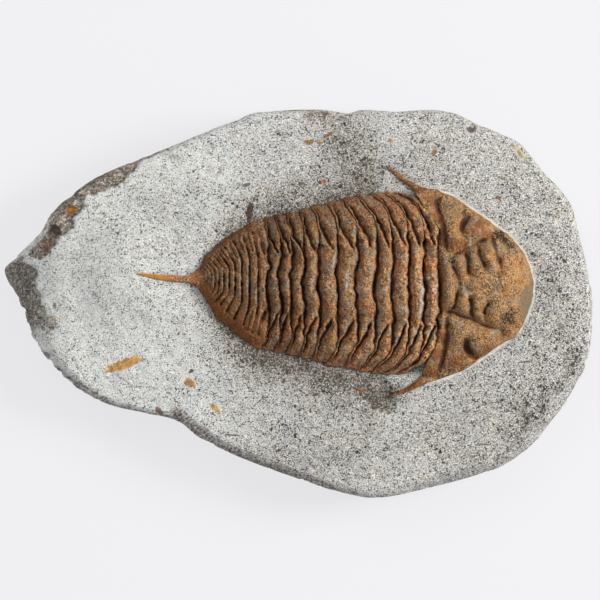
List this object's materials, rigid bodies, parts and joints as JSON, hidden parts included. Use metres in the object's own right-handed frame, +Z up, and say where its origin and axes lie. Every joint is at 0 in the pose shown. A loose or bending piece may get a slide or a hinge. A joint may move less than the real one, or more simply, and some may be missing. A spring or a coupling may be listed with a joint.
{
  "type": "trilobite fossil on its rock matrix",
  "caption": "Trilobite fossil lying back up on a flat-based slab of speckled grey limestone: domed head shield with cheek spines, jointed body rings, tail shield with a long spine.",
  "frame": {"origin": "the middle of the slab's bounding box, on the flat base that it rests on", "axes": "+Z up, +X along the slab towards the animal's head, +Y towards the animal's left side"},
  "size_m": [0.1209, 0.0796, 0.0277],
  "materials": {
    "rock": "matt, finely speckled limestone, with a dark weathered crust at one end and round the edge",
    "fossil_shell": "matt to waxy limonite brown, rough grained, darker in the furrows and paler on the ridges"
  },
  "bodies": {
    "root": {"rock_matrix": "rock", "head_shield": "fossil_shell", "body_ring_01": "fossil_shell", "body_ring_02": "fossil_shell", "body_ring_03": "fossil_shell", "body_ring_04": "fossil_shell", "body_ring_05": "fossil_shell", "body_ring_06": "fossil_shell", "body_ring_07": "fossil_shell", "body_ring_08": "fossil_shell", "body_ring_09": "fossil_shell", "body_ring_10": "fossil_shell", "body_ring_11": "fossil_shell", "tail_shield": "fossil_shell"}
  },
  "joints": []
}
